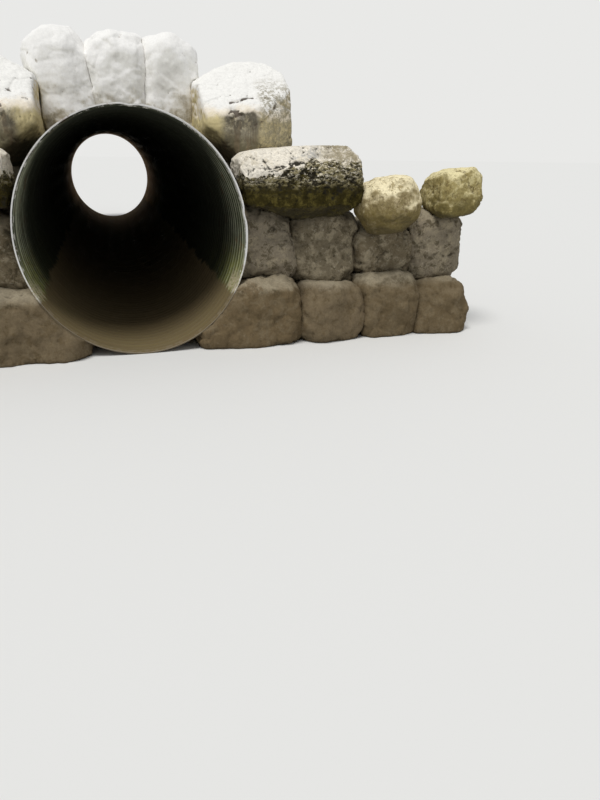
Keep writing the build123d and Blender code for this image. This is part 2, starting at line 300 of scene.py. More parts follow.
# Depths in metres. keep is the share of the triangles left after the relief is worked in.
rockKinds = {
    "block_stone": {"look": "block", "slot": "pale_stone", "voxel": 0.012, "smooth": 90, "keep": 0.62,
                    "lumps": 0.026, "facets": 0.014, "crust": 0.006, "pits": 0.002, "flutes": 0.007,
                    "swell": 0.003},
    "ledge_stone": {"look": "ledge", "slot": "grey_stone", "voxel": 0.012, "smooth": 10, "keep": 0.62,
                    "lumps": 0.034, "facets": 0.020, "crust": 0.011, "pits": 0.006, "strata": 0.020,
                    "swell": 0.004},
    "round_stone": {"look": "round", "slot": "tan_stone", "voxel": 0.014, "smooth": 36, "keep": 0.7,
                    "lumps": 0.045, "facets": 0.008, "crust": 0.007, "pits": 0.005, "swell": 0.012},
    "end_stone": {"look": "brown", "slot": "brown_stone", "voxel": 0.015, "smooth": 16, "keep": 0.7,
                  "lumps": 0.040, "facets": 0.024, "crust": 0.010, "pits": 0.006, "strata": 0.006,
                  "swell": 0.008},
    "crest_stone": {"look": "crest", "slot": "pale_stone", "voxel": 0.017, "smooth": 20, "keep": 0.8,
                    "lumps": 0.035, "facets": 0.014, "crust": 0.006, "pits": 0.002, "flutes": 0.003,
                    "swell": 0.010},
    "key_stone": {"look": "crest", "slot": "pale_stone", "voxel": 0.017, "smooth": 14, "keep": 0.8,
                  "lumps": 0.040, "facets": 0.022, "crust": 0.009, "pits": 0.005, "flutes": 0.003,
                  "swell": 0.008},
    "footing": {"look": "buried", "slot": "brown_stone", "voxel": 0.026, "smooth": 8, "keep": 0.8,
                "lumps": 0.060, "facets": 0.040, "crust": 0.014, "pits": 0.008, "swell": 0.012},
    "course": {"look": "buried", "slot": "brown_stone", "voxel": 0.025, "smooth": 7, "keep": 0.8,
               "lumps": 0.060, "facets": 0.042, "crust": 0.014, "pits": 0.008, "strata": 0.010,
               "swell": 0.012},
    "backing": {"look": "buried", "slot": "tan_stone", "voxel": 0.032, "smooth": 8, "keep": 0.8,
                "lumps": 0.045, "facets": 0.028, "crust": 0.010, "pits": 0.008, "swell": 0.012},
}


# What the fronts of two stones show, by distance from the pipe's axis and height, in metres. A tint is how
# dark a crack is, as painted shade in it, and a bend how far it strays. A shade is a painted shadow under
# the step or in the notches of the chips. Above the shoulder's line a stone is pressed down.
rockMarks = {
    "block_stone": {
        "cracks": [
            {"path": ((1.215, 2.664), (1.300, 2.682), (1.360, 2.695)),
             "width": 0.013, "depth": 0.010, "tint": 0.38, "bend": 0.25},
            {"path": ((1.350, 2.692), (1.483, 2.721)),
             "width": 0.018, "depth": 0.012, "tint": 0.48, "bend": 0.25},
            {"path": ((1.552, 2.62), (1.556, 2.40), (1.53, 2.10)),
             "width": 0.020, "depth": 0.008, "tint": 0.3},
            {"path": ((0.93, 2.62), (0.99, 2.645)),
             "width": 0.016, "depth": 0.012, "tint": 0.5},
            {"path": ((1.15, 2.365), (1.21, 2.34), (1.24, 2.28), (1.21, 2.21), (1.15, 2.19)),
             "width": 0.012, "depth": 0.006, "tint": 0.4},
            {"path": ((1.14, 2.33), (1.18, 2.31), (1.195, 2.275), (1.17, 2.235), (1.13, 2.225)),
             "width": 0.012, "depth": 0.006, "tint": 0.4},
        ],
        "dents": [
            {"place": (1.250, 2.548), "radius": 0.070, "depth": 0.045},
            {"place": (1.212, 2.512), "radius": 0.036, "depth": -0.045},
        ],
    },
    "ledge_stone": {
        "cracks": [
            {"path": ((1.28, 1.972), (1.40, 1.990), (1.53, 2.004), (1.70, 2.020), (1.86, 2.029)),
             "width": 0.030, "depth": 0.034, "tint": 0.7},
        ],
        "dents": [{"place": (1.93, 1.90), "radius": 0.05, "depth": 0.02}],
        "step": {"line": ((1.05, 1.902), (1.33, 1.893), (1.53, 1.918), (1.64, 1.945), (1.92, 2.040),
                          (2.10, 2.055), (2.40, 2.035), (2.60, 2.00)),
                 "depth": 0.016, "fade": 0.30, "foot": 0.03, "ragged": 0.06, "crustEdge": 0.02,
                 "shade": 0.25, "shadeBelow": 0.025, "shadeWidth": 0.018},
        "shoulder": ((1.05, 2.02), (1.13, 2.055), (1.27, 2.13), (1.50, 2.17), (1.93, 2.212), (2.70, 2.24)),
        "chips": {"place": (2.02, 1.90), "reach": (0.62, 0.17), "depth": 0.030, "level": 0.6,
                  "shade": 0.9, "shadeLevel": 0.62},
    },
}


# How the relief of every stone is worked. A fractal is (scale, fall, step, octaves), and a name that ends
# in Dark is what a mark adds to the hollow's tone, which is painted shade: darker in joints, pits, cracks,
# beds and dents, and lighter where it is taken away on raised crust and ridges.
rockForm = {
    "merge": 0.0001,  # corners of the node's triangles nearer than this are one
    "seatStep": 31.7,  # each stone takes its own stretch of the noise
    "seats": 17,
    "seatSide": 5.3,
    "toneScale": 3.3,
    "lumps": (1.9, 1.0, 2.0, 3),
    "facetScale": 3.1,
    "facetSeed": 9.1,
    "jointWidth": 0.10,  # between two facets, as a share of one
    "jointDepth": 0.3,
    "crust": (11, 0.75, 2.1, 5),
    "pitScale": 19,
    "pitWidth": 0.35,
    "flutes": (1, 0.8, 2.0, 3),  # upright runnels
    "fluteAcross": 15,
    "fluteUp": 2.2,
    "strataScale": 17,  # beds in a metre of height
    "strataStray": (3.5, 0.8, 2.1, 4),
    "strayHeight": 1.3,
    "strataSeed": 3.7,
    "strataAcross": 2,
    "plainTone": 0.38,  # where nothing marks the stone
    "jointDark": 0.2,
    "crustDark": 0.3,
    "pitDark": 0.35,
    "fluteDark": 0.22,
    "strataDark": 0.45,
    "dentDark": 0.75,
    "chips": (1, 0.7, 2.1, 4),  # broken ridges, which lean and dip
    "chipAcross": 8,
    "chipUp": 17,
    "chipLean": 5,
    "chipDip": 6,
    "chipSharp": 1.6,
    "ragged": (6, 4, 0.7),  # scale, octaves and fall
    "stray": 0.022,  # how far a mark strays from its line
    "grooveShape": 0.7,
    "grooveBreak": 0.3,  # a crack fades here and there
    "grooveSwing": 0.8,
    "frontFrom": 0.1,  # the tilt at which a face counts as the front
    "frontOver": 0.3,
    "grounded": 0.02,  # what is lower than this stands on the floor
    "press": 0.85,  # share by which a stone sinks over its shoulder
    "nearAxis": 0.2,  # inside this share of the bore a point isn't pushed out any further
}


def plainMesh(name, source, modifiers):
    # a copy of the evaluated mesh, with the modifiers worked in; a tree's inputs go by their identifiers
    worked = bpy.data.objects.new(name + "Work", source)
    bpy.context.scene.collection.objects.link(worked)
    for kind, settings, *inputs in modifiers:
        modifier = worked.modifiers.new(kind.lower(), kind)
        for key, value in settings.items():
            setattr(modifier, key, value)
        for identifier, value in dict(*inputs).items():
            modifier[identifier] = value
    graph = bpy.context.evaluated_depsgraph_get()
    found = bpy.data.meshes.new_from_object(worked.evaluated_get(graph))
    found.name = name
    bpy.data.objects.remove(worked)
    return found


def arrayOf(items, key):
    found = np.empty(len(items) * 3)
    items.foreach_get(key, found)
    return found.reshape(-1, 3)


def billow(point, scale, *octaves):
    return noise.fractal(point * scale, *octaves)


def rockRelief(point, above, kind):
    # how far one point of the surface stands out, in metres, and how far it is down in a hollow, 0 to 1;
    # the hollow is painted shade in the stone's colour
    form = rockForm
    lumps, crust = billow(point, *form["lumps"]), billow(point, *form["crust"])
    inFacets = point * form["facetScale"]
    distances, places = noise.voronoi(inFacets)
    tilt = (inFacets - places[0]).dot(noise.noise_vector(places[0] * form["facetSeed"]))
    joint = 1 - min((distances[1] - distances[0]) / form["jointWidth"], 1)
    pit = max(0, form["pitWidth"] - noise.voronoi(point * form["pitScale"])[0][0]) / form["pitWidth"]
    relief = lumps * kind["lumps"] + (tilt - form["jointDepth"] * joint) * kind["facets"]
    relief = relief + crust * kind["crust"] - pit * kind["pits"]
    hollow = form["plainTone"] + form["jointDark"] * joint - form["crustDark"] * crust
    hollow += form["pitDark"] * pit
    if "flutes" in kind:
        across, up = form["fluteAcross"], form["fluteUp"]
        flute = billow(Vector((point.x * across, point.y * across, point.z * up)), *form["flutes"])
        relief += flute * kind["flutes"]
        hollow -= form["fluteDark"] * flute
    if "strata" in kind:
        level = above * form["strataScale"] + billow(point, *form["strataStray"]) * form["strayHeight"]
        tooth = level - math.floor(level)
        across = form["strataAcross"]
        seat = Vector((math.floor(level) * form["strataSeed"], point.x * across, point.y * across))
        thick = 0.5 + 0.5 * noise.noise(seat)
        relief -= (1 - tooth) ** 2 * thick * kind["strata"]
        hollow += form["strataDark"] * (1 - tooth) ** 4 * thick
    return relief, hollow


def toPath(flat, path):
    # distance of each point to a broken line, both in the plane of the front
    nearest = np.full(len(flat), 9.0)
    for first, second in zip(path[:-1], path[1:]):
        first, second = np.array(first), np.array(second)
        run = second - first
        share = np.clip(((flat - first) @ run) / (run @ run), 0, 1)
        gap = flat - first - share[:, None] * run
        nearest = np.minimum(nearest, np.hypot(gap[:, 0], gap[:, 1]))
    return nearest


def chipRelief(point):
    # sharp slanting ridges, 0 in a notch and 1 on an edge
    form = rockForm
    slant = Vector((point.x * form["chipAcross"] + point.z * form["chipLean"], point.y * form["chipAcross"],
                    point.z * form["chipUp"] - point.x * form["chipDip"]))
    return 1 - min(form["chipSharp"] * abs(billow(slant, *form["chips"])), 1)


def markRelief(marks, flat, front, above, ragged, chips):
    # cracks, dents, chips and the step that the front of a stone shows, with painted shade in the cracks,
    # dents and notches and a painted shadow under the step
    form = rockForm
    relief, hollow = np.zeros(len(flat)), np.zeros(len(flat))
    bent = flat + form["stray"] * ragged[:, :2]
    for crack in marks.get("cracks", []):
        bend = crack.get("bend", 1.0)
        away = toPath(flat + form["stray"] * bend * ragged[:, :2], crack["path"]) / crack["width"]
        groove = np.clip(1 - away, 0, 1) ** form["grooveShape"] * front
        groove *= np.clip(1 - bend * (form["grooveBreak"] - form["grooveSwing"] * ragged[:, 2]), 0, 1)
        relief -= crack["depth"] * groove
        hollow += crack["tint"] * groove
    for dent in marks.get("dents", []):
        away = np.hypot(*(bent - dent["place"]).T) / dent["radius"]
        cup = np.exp(-away ** 4) * front
        relief -= dent["depth"] * cup
        hollow += np.sign(dent["depth"]) * form["dentDark"] * cup
    if "step" in marks:
        step = marks["step"]
        sunk = np.clip(-above / step["foot"], 0, 1) * np.clip(1 + above / step["fade"], 0, 1)
        relief -= step["depth"] * sunk * front
        hollow += step["shade"] * np.exp(-((above + step["shadeBelow"]) / step["shadeWidth"]) ** 2) * front
    if "chips" in marks:
        broken = marks["chips"]
        away = (bent - broken["place"]) / broken["reach"]
        near = np.exp(-np.hypot(*away.T) ** 4) * front
        relief += broken["depth"] * (chips - broken["level"]) * near
        hollow += broken["shade"] * (broken["shadeLevel"] - chips) * near
    return relief, hollow


def insideFrame(points):
    # no stone stands out of the frame's box or into the pipe
    points = np.clip(points, *np.array(cadBox))
    flat = np.hypot(points[:, 0] / pipeHalf[0], (points[:, 2] - pipeHalf[1]) / pipeHalf[1])
    inside = (flat < 1) & (points[:, 1] < pipeEnd)
    grow = 1 / np.maximum(flat[inside], rockForm["nearAxis"])
    points[inside, 0] *= grow
    points[inside, 2] = pipeHalf[1] + (points[inside, 2] - pipeHalf[1]) * grow
    return points


def makeRock(node, materials):
    start = next(key for key in rockKinds if node.startswith(key))
    kind, marks, form = rockKinds[start], rockMarks.get(start, {}), rockForm
    merged = bmesh.new()
    merged.from_mesh(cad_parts[node].data)
    bmesh.ops.remove_doubles(merged, verts=merged.verts, dist=form["merge"])
    source = bpy.data.meshes.new(node + "Source")
    merged.to_mesh(source)
    merged.free()
    name = node.replace("_", "-") + "-rock"
    mesh = plainMesh(name, source, [("REMESH", {"mode": "VOXEL", "voxel_size": kind["voxel"]}),
                                    ("SMOOTH", {"factor": 0.5, "iterations": kind["smooth"]})])
    points, normals = arrayOf(mesh.vertices, "co"), arrayOf(mesh.vertex_normals, "vector")
    seat = sum(map(ord, node)) % form["seats"]
    offset = Vector((form["seatStep"] * seat, form["seatSide"], 0))
    shifted = [Vector(point) + offset for point in points]
    scale, octaves, fall = form["ragged"]
    ragged = np.array([noise.turbulence_vector(point * scale, octaves, False, amplitude_scale=fall)
                       for point in shifted])
    flat = np.stack([np.abs(points[:, 0]), points[:, 2]], axis=1)
    above = points[:, 2].copy()
    if "step" in marks:
        line = np.array(marks["step"]["line"])
        above -= np.interp(flat[:, 0], line[:, 0], line[:, 1]) + marks["step"]["ragged"] * ragged[:, 1]
    found = np.array([rockRelief(point, level, kind) for point, level in zip(shifted, above)])
    front = np.clip((-normals[:, 1] - form["frontFrom"]) / form["frontOver"], 0, 1)
    chips = np.array([chipRelief(point) for point in shifted]) if "chips" in marks else None
    relief, hollow = markRelief(marks, flat, front, above, ragged, chips)
    relief = relief + found[:, 0] + kind["swell"]
    hollow = np.clip(hollow + found[:, 1], 0, 1)
    crust = np.zeros(len(points))
    if "step" in marks:
        crust = np.clip(above / marks["step"]["crustEdge"], 0, 1)
    grounded = points[:, 2] < form["grounded"]
    points = points + normals * relief[:, None]
    if "shoulder" in marks:
        line = np.array(marks["shoulder"])
        over = points[:, 2] - np.interp(np.abs(points[:, 0]), line[:, 0], line[:, 1])
        points[:, 2] -= form["press"] * np.clip(over, 0, None)
    points[grounded, 2] = 0
    mesh.vertices.foreach_set("co", insideFrame(points).ravel())
    tone = np.full(len(points), 0.5 + 0.5 * noise.noise(offset * form["toneScale"]))
    # hollow is painted shade in the recesses, lighter on raised parts; crust and tone are the stone's own
    # colour
    for key, values in (("hollow", hollow), ("crust", crust), ("tone", tone)):
        layer = mesh.attributes.new(key, "FLOAT", "POINT")
        layer.data.foreach_set("value", values.astype(np.float32))
    mesh = plainMesh(name, mesh, [("DECIMATE", {"ratio": kind["keep"]})])
    mesh.vertices.foreach_set("co", insideFrame(arrayOf(mesh.vertices, "co")).ravel())
    mesh.shade_smooth()
    mesh.materials.clear()
    mesh.materials.append(materials[kind["look"]])
    finishPiece(name, mesh, node)
    return len(mesh.polygons)


# steel

steelLooks = {
    "outside": {"zinc": (0.36, 0.37, 0.35), "dirt": (0.20, 0.16, 0.10), "dirtShare": 0.85, "metal": 0.35,
                "furrowShare": 0.3, "furrow": (0.85, 0.05), "greenShare": 0.4},
    "inside": {"zinc": (0.56, 0.58, 0.42), "dirt": (0.10, 0.11, 0.06), "dirtShare": 0.75, "metal": 0.1,
               "furrowShare": 0.86, "furrow": (0.0, 0.5), "greenShare": 0.85, "rough": (0.72, 0.95),
               "specular": 0.12},
    # near white: clean metal made brighter as a painted highlight along the cut edges and the rolled lip
    "cutEdge": {"zinc": (0.90, 0.90, 0.89), "dirt": (0.62, 0.59, 0.54), "dirtShare": 0.4, "metal": 0.2,
                "furrowShare": 0.0, "greenShare": 0.1},
    "band": {"zinc": (0.45, 0.46, 0.45), "dirt": (0.24, 0.19, 0.12), "dirtShare": 0.7, "metal": 0.5,
             "furrowShare": 0.3, "greenShare": 0.3},
    "bolt": {"zinc": (0.48, 0.46, 0.42), "dirt": (0.24, 0.13, 0.06), "dirtShare": 0.9, "metal": 0.6,
             "furrowShare": 0.0, "greenShare": 0.0},
}


# What all the steel has, unless its look says otherwise. A noise is (scale, detail, roughness, stretch,
# distortion), a span is (from, to, first, last), and a level counts from the stain line.
steelFinish = {
    "furrow": (0.15, 0.95),  # by the height of the wave
    "rough": (0.42, 0.75),
    "specular": 0.35,
    "spangleScale": 60.0,
    "spangleShare": 0.5,
    "spangleDark": 0.78,
    "patchNoise": (2.2, 9, 0.66),
    "dustNoise": (13, 9, 0.72),
    "dripNoise": (1, 8, 0.7, (9, 9, 1.3), 0.4),
    "ringNoise": (1, 6, 0.6, (0.9, 23, 0.9)),
    "rustNoise": (4, 10, 0.75),
    "speckleNoise": (42, 6, 0.7),
    "furrowDirt": 0.30,
    "dirtSpan": (0.44, 0.78, 0.15),
    "streakShare": 0.5,  # of the look's dirtShare
    "dripSpan": (0.52, 0.64, 0),
    "dripDark": 0.6,
    # painted shade in the furrows
    "furrowDark": 0.25,
    "ringSpan": (0.46, 0.62, 0),
    "ringDark": 0.4,
    "levelRagged": 0.30,  # the levels wander with the patches
    "levelDrop": 0.15,
    "greenLevel": (0.62, 0.1, 0),  # a green film over the stain line
    "greenDust": (0.34, 0.58, 0.35, 1),
    "greenRings": (0.34, 0.60, 1, 0.45),
    "greenColour": (0.34, 0.35, 0.085),
    "rustSpan": (0.54, 0.66),
    "rustShare": 0.6,
    "rustColour": (0.20, 0.095, 0.04),
    "siltLevel": (0.02, -0.04, 0, 0.92),
    "siltColour": (0.155, 0.115, 0.06),
    "limeTop": (0.26, 0.08),  # a pale crust over the stain, near the mouth
    "limeFoot": (-0.02, 0.02),
    "limeReach": (0.46, 0.34),
    "limeSpeckle": (0.40, 0.58, 0.15, 0.9),
    "limeColour": (0.46, 0.39, 0.27),
    "cleanSpan": (0.2, 0.8),
    "dirtyMetal": 0.05,
    "metalLevel": (0, 0.2),  # nothing shines under the stain line
    "roughDust": (0.3, 0.7),
    "bump": 0.4,
    "bumpDistance": 0.004,
}


# Down the bore, by distance from the mouth, and by height where it says so.
boreFinish = {
    "crownSpan": (1.6, 2.5, 0, 1.1),  # the painted shade begins sooner at the crown
    "filmFrom": (0.1, 1.5),
    "filmUntil": (13.4, 9.0),
    "filmShare": 0.94,
    "filmColour": (0.016, 0.018, 0.012),
    "glowSpan": (9.0, 13.8, 0, 0.88),
    "glowColour": (0.28, 0.165, 0.075),  # rust towards the far mouth
    "lipHeight": (0.85, 1.15),
    "lipDust": (0.36, 0.46, 0.55, 1),
    "lipSide": (-0.5, 0.3, 0.0, 0.015),  # the painted highlight of the lip is wider on one side
    "lipReach": (0.026, 0.012),
    "lipColour": (0.90, 0.90, 0.90),
    "wornReach": (0.13, 0.04),
    "wornDust": (0.50, 0.57, 0, 0.8),
    "wornColour": (0.66, 0.64, 0.58),
}


def fromStain(low, high, *ends):
    return (stainLine + low, stainLine + high, *ends)


def boreColour(tree, colour, place, dust):
    # painted shade over the bore past the first metre, partly grime, rust towards the far mouth, and at the
    # near one a painted highlight on the lip and a paler worn band
    values = boreFinish
    # painted shade: the bore darkens past the first metre, sooner at the crown, and clears towards the far
    # mouth
    inward = mathNode(tree, "ADD", place["Y"], ramp(tree, place["Z"], *values["crownSpan"]))
    boreShade = times(tree, ramp(tree, inward, *values["filmFrom"]),
                 ramp(tree, place["Y"], *values["filmUntil"]))
    boreShade = times(tree, boreShade, values["filmShare"])
    colour = mixColour(tree, boreShade, colour, values["filmColour"])
    colour = mixColour(tree, ramp(tree, place["Y"], *values["glowSpan"]), colour, values["glowColour"])
    # a painted highlight along the upper part of the mouth's lip
    upper = times(tree, ramp(tree, place["Z"], *values["lipHeight"]), ramp(tree, dust, *values["lipDust"]))
    reach = mathNode(tree, "SUBTRACT", place["Y"], ramp(tree, place["X"], *values["lipSide"]))
    lip = times(tree, ramp(tree, reach, *values["lipReach"]), upper)
    colour = mixColour(tree, lip, colour, values["lipColour"])
    worn = times(tree, ramp(tree, place["Y"], *values["wornReach"]), ramp(tree, dust, *values["wornDust"]))
    return mixColour(tree, worn, colour, values["wornColour"])


def steelMaterial(look):
    # dirt lies in the furrows, which are the ridges' backs where the steel is seen from inside, and the
    # furrows are darkened further as painted shade between the ridges
    values = {**steelFinish, **steelLooks[look]}
    zinc, dirt, streaks = values["zinc"], values["dirt"], values["streakShare"] * values["dirtShare"]
    made, shader = newMaterial(look + "Steel")
    tree = made.node_tree
    coords = addNode(tree, "ShaderNodeTexCoord").outputs["Object"]
    place = addNode(tree, "ShaderNodeSeparateXYZ", {"Vector": coords}).outputs
    wave = addNode(tree, "ShaderNodeAttribute", attribute_name="wave").outputs["Fac"]
    spangle = addNode(tree, "ShaderNodeTexVoronoi", {"Vector": coords, "Scale": values["spangleScale"]})
    flake = addNode(tree, "ShaderNodeSeparateColor", {"Color": spangle.outputs["Color"]}).outputs[0]
    patches, dust, drips, rings, rust, speckle = (
        noiseOn(tree, coords, *values[key + "Noise"])
        for key in ("patch", "dust", "drip", "ring", "rust", "speckle"))

    def darker(shade, share):
        return [part * share for part in shade]

    flaked = times(tree, flake, values["spangleShare"])
    colour = mixColour(tree, flaked, zinc, darker(zinc, values["spangleDark"]))
    furrow = ramp(tree, wave, *values["furrow"])
    lying = mathNode(tree, "MULTIPLY_ADD", furrow, values["furrowDirt"], patches)
    dirty = ramp(tree, lying, *values["dirtSpan"], values["dirtShare"])
    colour = mixColour(tree, dirty, colour, dirt)
    dripped = ramp(tree, drips, *values["dripSpan"], streaks)
    colour = mixColour(tree, dripped, colour, darker(dirt, values["dripDark"]))
    # the furrows darkened further, as painted shade between the ridges
    sunk = times(tree, furrow, values["furrowShare"])
    colour = mixColour(tree, sunk, colour, darker(dirt, values["furrowDark"]))
    ringed = ramp(tree, rings, *values["ringSpan"], streaks)
    colour = mixColour(tree, ringed, colour, darker(dirt, values["ringDark"]))
    height = mathNode(tree, "SUBTRACT", place["Z"], values["levelDrop"])
    height = mathNode(tree, "MULTIPLY_ADD", patches, values["levelRagged"], height)
    green = ramp(tree, height, *fromStain(*values["greenLevel"]), values["greenShare"])
    green = times(tree, green, ramp(tree, dust, *values["greenDust"]))
    green = times(tree, green, ramp(tree, rings, *values["greenRings"]))
    colour = mixColour(tree, green, colour, values["greenColour"])
    rusty = times(tree, ramp(tree, rust, *values["rustSpan"]), values["rustShare"])
    colour = mixColour(tree, rusty, colour, values["rustColour"])
    if look == "inside":
        colour = boreColour(tree, colour, place, dust)
    silt = ramp(tree, height, *fromStain(*values["siltLevel"]))
    colour = mixColour(tree, silt, colour, values["siltColour"])
    lime = times(tree, ramp(tree, height, *fromStain(*values["limeTop"])),
                 ramp(tree, height, *fromStain(*values["limeFoot"])))
    lime = times(tree, lime, ramp(tree, place["Y"], *values["limeReach"]))
    lime = times(tree, lime, ramp(tree, speckle, *values["limeSpeckle"]))
    feed(tree, shader.inputs["Base Color"], mixColour(tree, lime, colour, values["limeColour"]))
    clean = ramp(tree, dirty, *values["cleanSpan"], values["metal"], values["dirtyMetal"])
    bare = ramp(tree, height, *fromStain(*values["metalLevel"]))
    feed(tree, shader.inputs["Metallic"], times(tree, clean, bare))
    feed(tree, shader.inputs["Roughness"], ramp(tree, dust, *values["roughDust"], *values["rough"]))
    shader.inputs["Specular IOR Level"].default_value = values["specular"]
    bump = addNode(tree, "ShaderNodeBump", {
        "Height": dust, "Strength": values["bump"], "Distance": values["bumpDistance"]})
    feed(tree, shader.inputs["Normal"], bump.outputs[0])
    return made


def newGeometryTree(name, sizes):
    # a tree with its named inputs, and the identifier of each
    tree = bpy.data.node_groups.new(name, "GeometryNodeTree")
    tree.interface.new_socket("Geometry", in_out="OUTPUT", socket_type="NodeSocketGeometry")
    names = {}
    for key, value in sizes.items():
        kind = "NodeSocketInt" if isinstance(value, int) else "NodeSocketFloat"
        socket = tree.interface.new_socket(key, in_out="INPUT", socket_type=kind)
        socket.default_value = value
        names[key] = socket.identifier
    return tree, names, addNode(tree, "NodeGroupInput").outputs, addNode(tree, "NodeGroupOutput")


def finishTree(tree, ending, geometry, material):
    realized = addNode(tree, "GeometryNodeRealizeInstances", {"Geometry": geometry})
    painted = addNode(tree, "GeometryNodeSetMaterial", {
        "Geometry": realized.outputs[0], "Material": material})
    tree.links.new(painted.outputs[0], ending.inputs[0])


def meshFromTree(name, made, sizes, extra=()):
    tree, names = made
    inputs = {names[key]: value for key, value in sizes.items()}
    empty = bpy.data.meshes.new(name + "Empty")
    return plainMesh(name, empty, [("NODES", {"node_group": tree}, inputs), *extra])


def finishPiece(name, mesh, node):
    piece = bpy.data.objects.new(name, mesh)
    bpy.context.scene.collection.objects.link(piece)
    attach(piece, "root")
    if node:
        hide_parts(node)


# The inputs of the pipe's trees. The first four are read from each length's node.
barrel = {
    "Length": 5.08,
    "Start": 0.0,
    "Half span": 1.2,
    "Half rise": 1.28,
    "Wave depth": 0.0254,
    "Pitch": 0.127,
    "Starts": 5.0,  # ridges side by side in one turn of the spiral
    "Cusp": math.radians(81.5),  # where a ridge meets the rim near the crown
    "Level end": 0.40,  # in pitches, how far each end is rolled level
    "Full wave": 1.10,  # and where the full wave begins
    "Dent depth": 0.015,  # two knocks in the mouth's rim
    "Dent width": math.radians(2.6),
    "Dent reach": 0.08,  # down the pipe
    "Dent A": math.radians(88),
    "Dent B": math.radians(10),
}
barrelSheet = {
    "thickness": 0.0028,
    "around": (168, 112, 112),  # faces round each length
    "perPitch": (7, 5, 5),
    "endTilt": 0.98,  # a face turned further along the pipe is a cut edge
    "sharp": math.radians(50),
}


def bell(tree, value, centre, width):
    away = mathNode(tree, "DIVIDE", mathNode(tree, "SUBTRACT", value, centre), width)
    square = times(tree, away, away)
    return mathNode(tree, "EXPONENT", times(tree, square, -1.0))


def waveDrop(tree, given, angle, along):
    # how far the sheet is sunk towards the axis: spiral ridges, rolled level with the rim at both ends
    turn = mathNode(tree, "DIVIDE", 2 * math.pi, given["Pitch"])
    twist = times(tree, mathNode(tree, "SUBTRACT", given["Cusp"], angle), given["Starts"])
    spiral = mathNode(tree, "COSINE", mathNode(tree, "MULTIPLY_ADD", along, turn, twist))
    fromStart = mathNode(tree, "SUBTRACT", along, given["Start"])
    fromEnd = mathNode(tree, "MINIMUM", fromStart, mathNode(tree, "SUBTRACT", given["Length"], fromStart))
    level = mathNode(tree, "COSINE", times(tree, fromEnd, turn))
    pitches = mathNode(tree, "DIVIDE", fromEnd, given["Pitch"])
    share = ramp(tree, pitches, given["Level end"], given["Full wave"])
    wave = addNode(tree, "ShaderNodeMix", {"Factor": share, 2: level, 3: spiral}).outputs[0]
    half = times(tree, given["Wave depth"], 0.5)
    drop = times(tree, mathNode(tree, "SUBTRACT", wave, 1.0), half)
    knock = mathNode(tree, "ADD", bell(tree, angle, given["Dent A"], given["Dent width"]),
                     bell(tree, angle, given["Dent B"], given["Dent width"]))
    knock = times(tree, knock, bell(tree, along, 0.0, given["Dent reach"]))
    return mathNode(tree, "SUBTRACT", drop, times(tree, knock, given["Dent depth"]))


def ovalPlace(tree, given, angle, along, drop):
    # a point on the pipe's oval, sunk by drop towards the axis
    reach = mathNode(tree, "ADD", given["Half span"], drop)
    across = times(tree, reach, mathNode(tree, "COSINE", angle))
    rise = mathNode(tree, "ADD", given["Half rise"], drop)
    up = times(tree, rise, mathNode(tree, "SINE", angle))
    up = mathNode(tree, "ADD", up, given["Half rise"])
    return addNode(tree, "ShaderNodeCombineXYZ", {"X": across, "Y": along, "Z": up}).outputs[0]


def angleNow(tree):
    # the angle round the pipe of each point of a plain ring or tube, and its place along it
    position = addNode(tree, "GeometryNodeInputPosition").outputs[0]
    place = addNode(tree, "ShaderNodeSeparateXYZ", {"Vector": position}).outputs
    return mathNode(tree, "ARCTAN2", place["Y"], place["X"]), place["Z"]


def barrelTree(material):
    tree, names, given, ending = newGeometryTree("SpiralBarrel", {**barrel, "Around": 144, "Along": 240})
    tube = addNode(tree, "GeometryNodeMeshCylinder", {
        "Vertices": given["Around"], "Side Segments": given["Along"],
        "Radius": 1.0, "Depth": given["Length"]}, fill_type="NONE")
    angle, level = angleNow(tree)
    along = mathNode(tree, "MULTIPLY_ADD", given["Length"], 0.5, level)
    along = mathNode(tree, "ADD", along, given["Start"])
    drop = waveDrop(tree, given, angle, along)
    moved = ovalPlace(tree, given, angle, along, drop)
    height = mathNode(tree, "ADD", mathNode(tree, "DIVIDE", drop, given["Wave depth"]), 1.0)
    marked = addNode(tree, "GeometryNodeStoreNamedAttribute", {
        "Geometry": tube.outputs["Mesh"], "Name": "wave", "Value": height},
        data_type="FLOAT", domain="POINT")
    shaped = addNode(tree, "GeometryNodeSetPosition", {"Geometry": marked.outputs[0], "Position": moved})
    flipped = addNode(tree, "GeometryNodeFlipFaces", {"Mesh": shaped.outputs[0]})
    finishTree(tree, ending, flipped.outputs[0], material)
    return tree, names


def sweep(tree, given, path, capped=False):
    # a round bead along a path
    bead = addNode(tree, "GeometryNodeCurvePrimitiveCircle", {
        "Resolution": given["Sides"], "Radius": given["Bead"]})
    swept = addNode(tree, "GeometryNodeCurveToMesh", {
        "Curve": path, "Profile Curve": bead.outputs[0], "Fill Caps": capped})
    return addNode(tree, "GeometryNodeSetShadeSmooth", {"Geometry": swept.outputs[0]}).outputs[0]


seam = {
    "Bead": 0.0045,  # radius of the folded lock seam
    "Sides": 6,
    "Points": 620,
    "Inset": 0.03,  # kept back from the ends of a length
}


